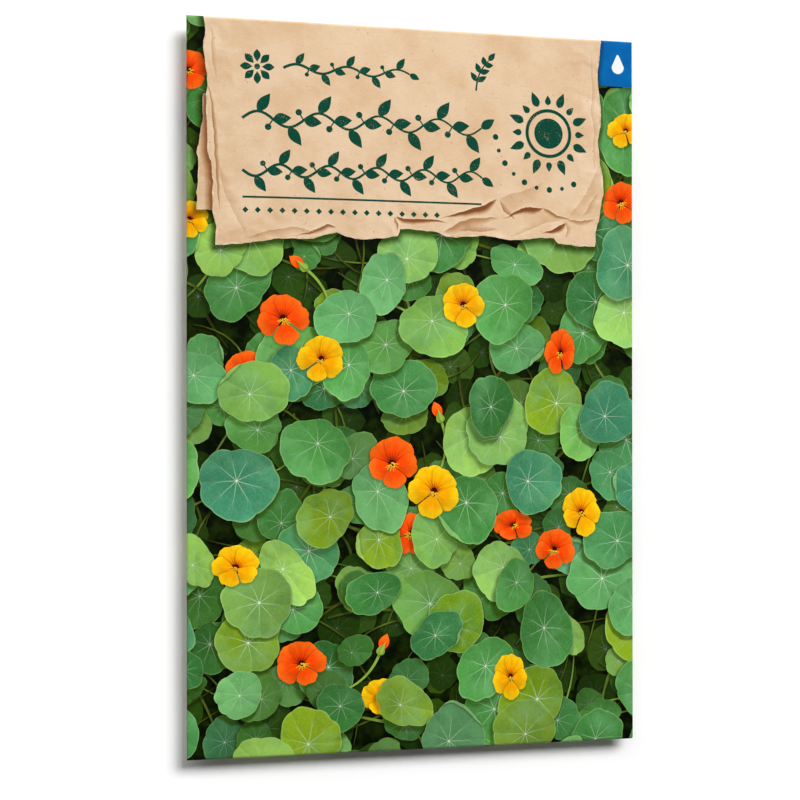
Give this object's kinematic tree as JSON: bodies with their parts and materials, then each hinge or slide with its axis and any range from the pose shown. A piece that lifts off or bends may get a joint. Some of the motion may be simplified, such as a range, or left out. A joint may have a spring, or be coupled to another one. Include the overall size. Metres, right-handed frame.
{
  "type": "seed packet",
  "caption": "Flat paper seed packet with a swollen pouch, glued side, bottom and top flaps, and loose corky nasturtium seeds sealed inside, lying face up.",
  "frame": {"origin": "middle of the packet's footprint, on the surface that its back lies on", "axes": "+Z out of the printed front, +Y towards the packet's top edge, +X towards its right edge seen from the front"},
  "size_m": [0.1, 0.155, 0.0072],
  "materials": {
    "printed_paper": "matt coated paper with a full printed face",
    "seed_coat": "dry wrinkled cork"
  },
  "bodies": {
    "root": {"paper_packet": "printed_paper", "seed_01": "seed_coat", "seed_02": "seed_coat", "seed_03": "seed_coat", "seed_04": "seed_coat", "seed_05": "seed_coat", "seed_06": "seed_coat", "seed_07": "seed_coat", "seed_08": "seed_coat", "seed_09": "seed_coat", "seed_10": "seed_coat", "seed_11": "seed_coat", "seed_12": "seed_coat", "seed_13": "seed_coat", "seed_14": "seed_coat", "seed_15": "seed_coat", "seed_16": "seed_coat"}
  },
  "joints": []
}
